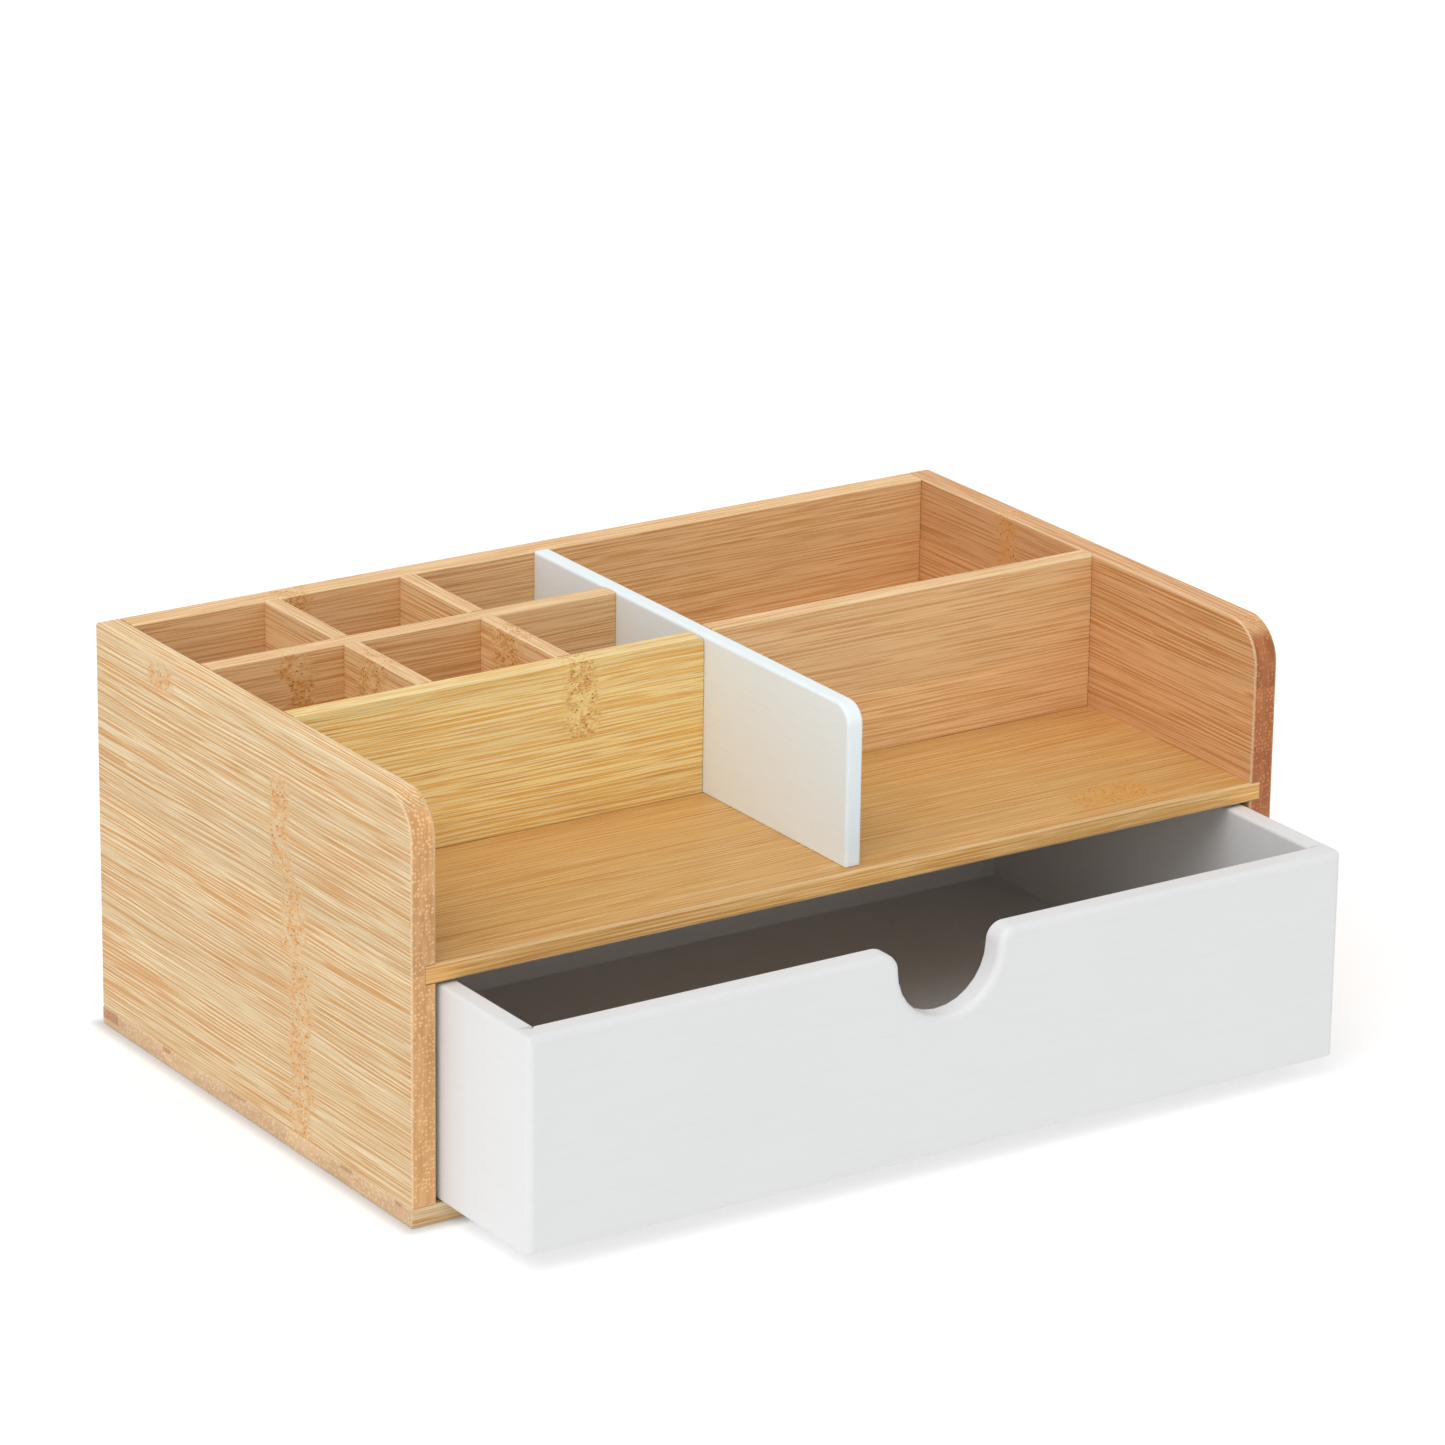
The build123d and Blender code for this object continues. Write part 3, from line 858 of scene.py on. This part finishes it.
def close_tree(sheet, given, geometry):
    """Realize the instances, set the material and end the tree."""
    real = sheet.node("GeometryNodeRealizeInstances", None, {"Geometry": geometry})
    inputs = {"Geometry": real.outputs["Geometry"], "Material": given["Material"]}
    painted = sheet.node("GeometryNodeSetMaterial", None, inputs)
    sheet.node("NodeGroupOutput", None, {"Geometry": painted.outputs["Geometry"]})


def grow(name, tree, values):
    """Run a node tree on an empty mesh and keep the result as a plain mesh piece."""
    seedling = bpy.data.objects.new(name, bpy.data.meshes.new(f"{name}_start"))
    bpy.context.scene.collection.objects.link(seedling)
    modifier = seedling.modifiers.new("Grow", "NODES")
    modifier.node_group = tree
    for label, value in values.items():
        set_input(modifier, label, value)
    bpy.context.view_layer.update()
    set_down(seedling)
    if not seedling.data.polygons:
        raise RuntimeError(f"{name} came out empty")
    return seedling


def divider_tree():
    """Short dividers in a grid of two rows. The rear row's boards are scaled to its depth."""
    inputs = [
        ("Board", "NodeSocketObject"),
        ("Pitch", "NodeSocketFloat"),
        ("Row Pitch", "NodeSocketFloat"),
        ("Centre", "NodeSocketVector"),
        ("Rear Scale", "NodeSocketFloat"),
        ("Material", "NodeSocketMaterial"),
    ]
    tree, sheet, given = new_tree("pen_divider_grid", inputs)
    grid_inputs = {
        "Size X": given["Pitch"],
        "Size Y": given["Row Pitch"],
        "Vertices X": 2,
        "Vertices Y": 2,
    }
    grid = sheet.node("GeometryNodeMeshGrid", None, grid_inputs)
    spot = sheet.split(sheet.node("GeometryNodeInputPosition").outputs["Position"])
    rear = spot[1].over(0.0)
    depth_scale = 1 + rear * (Signal(sheet, given["Rear Scale"]) - 1)
    source = sheet.node("GeometryNodeObjectInfo", None, {"Object": given["Board"]})
    rows_inputs = {
        "Points": grid.outputs["Mesh"],
        "Instance": source.outputs["Geometry"],
        "Scale": sheet.combine(1.0, depth_scale, 1.0),
    }
    rows = sheet.node("GeometryNodeInstanceOnPoints", None, rows_inputs)
    move_inputs = {"Geometry": rows.outputs["Instances"], "Translation": given["Centre"]}
    moved = sheet.node("GeometryNodeTransform", None, move_inputs)
    close_tree(sheet, given, moved.outputs["Geometry"])
    return tree


class ORGANIZER_OT_pen_dividers(bpy.types.Operator):
    """Make the four short dividers between the pen compartments"""

    bl_idname = "organizer.pen_dividers"
    bl_label = "Pen Dividers"

    def execute(self, context):
        sizes = context.scene.organizer_sizes
        names = [f"{row}_pen_divider_{place}" for row in ("front", "rear") for place in ("left", "right")]
        spots = {name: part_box(name) for name in names}
        centres = {name: (low + high) / 2 for name, (low, high) in spots.items()}
        front_low, front_high = spots["front_pen_divider_left"]
        rear_low, rear_high = spots["rear_pen_divider_left"]
        half = (front_high - front_low) / 2
        sample = block("divider_sample", -half, half)
        width_of = jointed(-half, half, ("-Z", "-Y", "+Y"), sizes.edge_ease, sizes.joint_ease)
        ease_edges(sample, sizes.edge_ease, width_of)
        set_down(sample)
        knuckles = ((22.0, 125.0, 12.0, 22.0),)
        finish = bamboo("pen_divider_bamboo", "amber", "YZX", 52.0, knuckles, contrast=0.8, glints=0.5)
        values = {
            "Board": sample,
            "Pitch": centres["front_pen_divider_right"].x - centres["front_pen_divider_left"].x,
            "Row Pitch": centres["rear_pen_divider_left"].y - centres["front_pen_divider_left"].y,
            "Centre": sum(centres.values(), Vector()) / len(centres),
            "Rear Scale": (rear_high.y - rear_low.y) / (front_high.y - front_low.y),
            "Material": finish,
        }
        piece = grow("pen_dividers", divider_tree(), values)
        shape = sample.data
        bpy.data.objects.remove(sample)
        bpy.data.meshes.remove(shape)
        hand_over(piece, "case", finish, names)
        return {"FINISHED"}


# ---------------------------------------------------------------- dowels


QUARTER = math.pi / 2
FLUTE_RADIUS = 0.93
DOWEL_RINGS = 9
TAPER, TAPER_STEP = 0.16, (0.40, 0.5)
UPRIGHT_GRID = (QUARTER, 0.0, 0.0)
FLAT_GRID = (0.0, 0.0, 0.0)
DOWEL_TURNS = {"X": (0.0, QUARTER, 0.0), "Y": (QUARTER, 0.0, 0.0), "Z": (0.0, 0.0, 0.0)}
DOWEL_GRAIN = {"X": "XYZ", "Y": "YXZ", "Z": "ZXY"}
DOWEL_SETS = (
    # node, body, axis of the dowels, columns, rows
    ("base_dowels", "case", "Z", 2, 3),
    ("back_dowels", "case", "X", 2, 2),
    ("drawer_front_dowels", "drawer", "Y", 2, 2),
    ("drawer_back_dowels", "drawer", "X", 2, 2),
)


def dowel_tree():
    """Fluted dowels with tapered ends, in a grid."""
    inputs = [
        ("Radius", "NodeSocketFloat"),
        ("Length", "NodeSocketFloat"),
        ("Flutes", "NodeSocketInt"),
        ("Count", "NodeSocketInt"),
        ("Rows", "NodeSocketInt"),
        ("Span", "NodeSocketFloat"),
        ("Row Span", "NodeSocketFloat"),
        ("Grid Turn", "NodeSocketVector"),
        ("Dowel Turn", "NodeSocketVector"),
        ("Centre", "NodeSocketVector"),
        ("Material", "NodeSocketMaterial"),
    ]
    tree, sheet, given = new_tree("dowel_grid", inputs)
    radius = Signal(sheet, given["Radius"])
    half = Signal(sheet, given["Length"]) * 0.5
    star_inputs = {
        "Points": given["Flutes"],
        "Inner Radius": radius * FLUTE_RADIUS,
        "Outer Radius": radius,
    }
    star = sheet.node("GeometryNodeCurveStar", None, star_inputs)
    line_inputs = {"Start": sheet.combine(0.0, 0.0, -1 * half), "End": sheet.combine(0.0, 0.0, half)}
    line = sheet.node("GeometryNodeCurvePrimitiveLine", None, line_inputs)
    dense_inputs = {"Curve": line.outputs["Curve"], "Count": DOWEL_RINGS}
    dense = sheet.node("GeometryNodeResampleCurve", None, dense_inputs)
    share = Signal(sheet, sheet.node("GeometryNodeSplineParameter").outputs["Factor"])
    sweep_inputs = {
        "Curve": dense.outputs["Curve"],
        "Profile Curve": star.outputs["Curve"],
        "Scale": 1 - abs(share - 0.5).rise(*TAPER_STEP) * TAPER,
        "Fill Caps": True,
    }
    body = sheet.node("GeometryNodeCurveToMesh", None, sweep_inputs)
    grid_inputs = {
        "Size X": given["Span"],
        "Size Y": given["Row Span"],
        "Vertices X": given["Count"],
        "Vertices Y": given["Rows"],
    }
    grid = sheet.node("GeometryNodeMeshGrid", None, grid_inputs)
    turn_inputs = {
        "Geometry": grid.outputs["Mesh"],
        "Translation": given["Centre"],
        "Rotation": given["Grid Turn"],
    }
    turned = sheet.node("GeometryNodeTransform", None, turn_inputs)
    set_inputs = {
        "Points": turned.outputs["Geometry"],
        "Instance": body.outputs["Mesh"],
        "Rotation": given["Dowel Turn"],
    }
    spread = sheet.node("GeometryNodeInstanceOnPoints", None, set_inputs)
    close_tree(sheet, given, spread.outputs["Instances"])
    return tree


class ORGANIZER_OT_dowels(bpy.types.Operator):
    """Make the fluted dowels that hold the joints together"""

    bl_idname = "organizer.dowels"
    bl_label = "Dowels"

    flutes: IntProperty(name="Flutes", description="Flutes round a dowel", default=12, min=6, max=24)

    def execute(self, context):
        sizes = context.scene.organizer_sizes
        tree = dowel_tree()
        for name, body, axis, columns, rows in DOWEL_SETS:
            low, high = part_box(name)
            size = high - low
            in_case = body == "case"
            radius = sizes.case_dowel if in_case else sizes.drawer_dowel
            cross_length = sizes.case_dowel_length if in_case else sizes.drawer_dowel_length
            length = {"X": cross_length, "Y": size.y, "Z": size.z}[axis]
            row_size = size.y if axis == "Z" else size.z
            finish = bamboo(f"{name}_wood", "dowel", DOWEL_GRAIN[axis], 61.0, contrast=0.4)
            values = {
                "Radius": radius,
                "Length": length,
                "Flutes": self.flutes,
                "Count": columns,
                "Rows": rows,
                "Span": size.x - (length if axis == "X" else 2 * radius),
                "Row Span": row_size - 2 * radius,
                "Grid Turn": FLAT_GRID if axis == "Z" else UPRIGHT_GRID,
                "Dowel Turn": DOWEL_TURNS[axis],
                "Centre": (low + high) / 2,
                "Material": finish,
            }
            piece = grow(f"{name}_set", tree, values)
            hand_over(piece, body, finish, [name])
        return {"FINISHED"}


# ---------------------------------------------------------------- the drawer


class ORGANIZER_OT_drawer_front(bpy.types.Operator):
    """Make the drawer front with its finger notch"""

    bl_idname = "organizer.drawer_front"
    bl_label = "Drawer Front"

    def execute(self, context):
        paint = context.scene.organizer_paint
        sizes = context.scene.organizer_sizes
        low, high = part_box("drawer_front")
        lip = sizes.notch_depth - sizes.notch_radius
        level = high[2] - lip
        mouth = sizes.notch_radius + lip
        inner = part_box("drawer_right_side")[0].x
        outline = [(-inner, low[2]), (low[0], low[2]), (low[0], high[2]), (-inner, high[2])]
        outline += corner_arc((-mouth, level), lip, 90.0, -90.0)
        outline += corner_arc((0.0, level), sizes.notch_radius, 180.0, 180.0)[1:-1]
        outline += corner_arc((mouth, level), lip, 180.0, -90.0)
        outline += [(inner, high[2]), (high[0], high[2]), (high[0], low[2]), (inner, low[2])]
        piece = prism("drawer_front_board", outline, "Y", low[1], high[1])

        def width_of(ends):
            if on_plane(ends, 1, low.y):
                return sizes.front_ease
            outside = all(abs(end.x) > inner - FIT_TOLERANCE for end in ends)
            return 0.0 if outside and on_plane(ends, 1, high.y) else sizes.paint_ease

        ease_edges(piece, sizes.front_ease, width_of)
        set_down(piece)
        finish = white_paint("drawer_front_white", paint.outside, "XZY", 7.0)
        hand_over(piece, "drawer", finish, ["drawer_front"])
        return {"FINISHED"}


class ORGANIZER_OT_drawer_box(bpy.types.Operator):
    """Make the drawer's sides, back and bottom"""

    bl_idname = "organizer.drawer_box"
    bl_label = "Drawer Box"

    def execute(self, context):
        paint = context.scene.organizer_paint
        sizes = context.scene.organizer_sizes
        side = white_paint("drawer_side_white", paint.outside, "YZX", 13.0)
        cross = white_paint("drawer_back_white", paint.outside, "XZY", 17.0)
        floor = white_paint("drawer_floor_white", paint.outside, "XYZ", 23.0)
        for name in ("drawer_left_side", "drawer_right_side"):
            board(name, "drawer", side, sizes.paint_ease, ("-Y",), joint_ease=0.0)
        board("drawer_back", "drawer", cross, sizes.paint_ease, ("-X", "+X"))
        board("drawer_bottom", "drawer", floor, sizes.joint_ease)
        return {"FINISHED"}


# ---------------------------------------------------------------- the studio


def broad_light(name, way, strength, spread):
    """A soft, even light that falls along a direction over the whole floor."""
    data = bpy.data.lights.new(name, "SUN")
    data.energy = strength
    data.angle = spread
    lamp = bpy.data.objects.new(name, data)
    bpy.context.scene.collection.objects.link(lamp)
    lamp.matrix_world = Vector(way).to_track_quat("-Z", "Y").to_matrix().to_4x4()


class ORGANIZER_OT_stage(bpy.types.Operator):
    """Make the pale floor, the soft light and the camera"""

    bl_idname = "organizer.stage"
    bl_label = "Stage"

    def execute(self, context):
        scene = context.scene
        stage = scene.organizer_stage
        scene.view_settings.view_transform = "Standard"
        half = stage.floor_size / 2
        floor = block("floor", (-half, -half, -stage.floor_depth), (half, half, 0.0))
        material, sheet, shader = new_material("floor_white")
        shader.inputs["Base Color"].default_value = rgba(stage.floor_colour)
        shader.inputs["Roughness"].default_value = 0.9
        shader.inputs["Specular IOR Level"].default_value = 0.1
        # Painted shadow: the floor's glow is dimmed within the shade reach of the base's footprint, a painted
        # contact shadow round the case's foot.
        where = sheet.node("ShaderNodeTexCoord")
        x, y = sheet.split(where.outputs["Object"])[:2]
        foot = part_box("base_panel")[1]
        beside = (abs(x) - foot.x).larger(0.0)
        before = (abs(y) - foot.y).larger(0.0)
        clear = (beside * beside + before * before).root().rise(0.0, stage.shade_reach)
        glow = sheet.mix(clear, rgba([stage.shade_glow] * 3), (1.0, 1.0, 1.0, 1.0))
        sheet.feed(shader.inputs["Emission Color"], glow)
        shader.inputs["Emission Strength"].default_value = stage.floor_glow
        floor.data.materials.append(material)

        world = bpy.data.worlds.new("studio")
        world.use_nodes = True
        backdrop = world.node_tree.nodes["Background"]
        backdrop.inputs["Color"].default_value = (1.0, 1.0, 1.0, 1.0)
        backdrop.inputs["Strength"].default_value = stage.sky
        scene.world = world
        broad_light("key_light", (0.55, 0.25, -0.85), stage.key, stage.key_spread)

        turn, lift = stage.azimuth, stage.elevation
        level = Vector((math.sin(turn), -math.cos(turn), 0.0))
        back = level * math.cos(lift) + Vector((0.0, 0.0, math.sin(lift)))
        right = (-back).cross(Vector((0, 0, 1))).normalized()
        up = right.cross(-back)
        roll_right = math.cos(stage.roll) * right + math.sin(stage.roll) * up
        roll_up = -math.sin(stage.roll) * right + math.cos(stage.roll) * up
        lens = bpy.data.cameras.new("camera")
        lens.lens = stage.lens
        lens.sensor_width = 36.0
        lens.shift_x, lens.shift_y = stage.shift
        lens.clip_end = 60.0
        camera = bpy.data.objects.new("camera", lens)
        scene.collection.objects.link(camera)
        turned = Matrix((roll_right, roll_up, back)).transposed().to_4x4()
        camera.matrix_world = Matrix.Translation(Vector(stage.aim) + back * stage.distance) @ turned
        scene.camera = camera
        return {"FINISHED"}


# ---------------------------------------------------------------- the add-on


BUILD_ORDER = (
    "base_panel",
    "side_panels",
    "back_and_shelf",
    "centre_divider",
    "long_walls",
    "pen_dividers",
    "dowels",
    "drawer_front",
    "drawer_box",
    "stage",
)


class ORGANIZER_PT_panel(bpy.types.Panel):
    """Settings and build buttons of the organizer"""

    bl_idname = "ORGANIZER_PT_panel"
    bl_label = "Desk Organizer"
    bl_space_type = "VIEW_3D"
    bl_region_type = "UI"
    bl_category = "Organizer"

    def draw(self, context):
        layout = self.layout
        for group in GROUPS:
            settings = getattr(context.scene, group)
            box = layout.box()
            for key in settings.bl_rna.properties.keys():
                if key not in ("rna_type", "name"):
                    box.prop(settings, key)
        for step in BUILD_ORDER:
            layout.operator(f"organizer.{step}")


GROUPS = {
    "organizer_sizes": OrganizerSizes,
    "organizer_bamboo": OrganizerBamboo,
    "organizer_paint": OrganizerPaint,
    "organizer_stage": OrganizerStage,
}
CLASSES = (
    *GROUPS.values(),
    ORGANIZER_OT_base_panel,
    ORGANIZER_OT_side_panels,
    ORGANIZER_OT_back_and_shelf,
    ORGANIZER_OT_centre_divider,
    ORGANIZER_OT_long_walls,
    ORGANIZER_OT_pen_dividers,
    ORGANIZER_OT_dowels,
    ORGANIZER_OT_drawer_front,
    ORGANIZER_OT_drawer_box,
    ORGANIZER_OT_stage,
    ORGANIZER_PT_panel,
)


def register():
    for entry in CLASSES:
        bpy.utils.register_class(entry)
    for name, group in GROUPS.items():
        setattr(bpy.types.Scene, name, PointerProperty(type=group))


def unregister():
    for name in GROUPS:
        delattr(bpy.types.Scene, name)
    for entry in reversed(CLASSES):
        bpy.utils.unregister_class(entry)


def main():
    register()
    for step in BUILD_ORDER:
        getattr(bpy.ops.organizer, step)()
    bpy.context.view_layer.update()


if __name__ == "__main__":
    main()
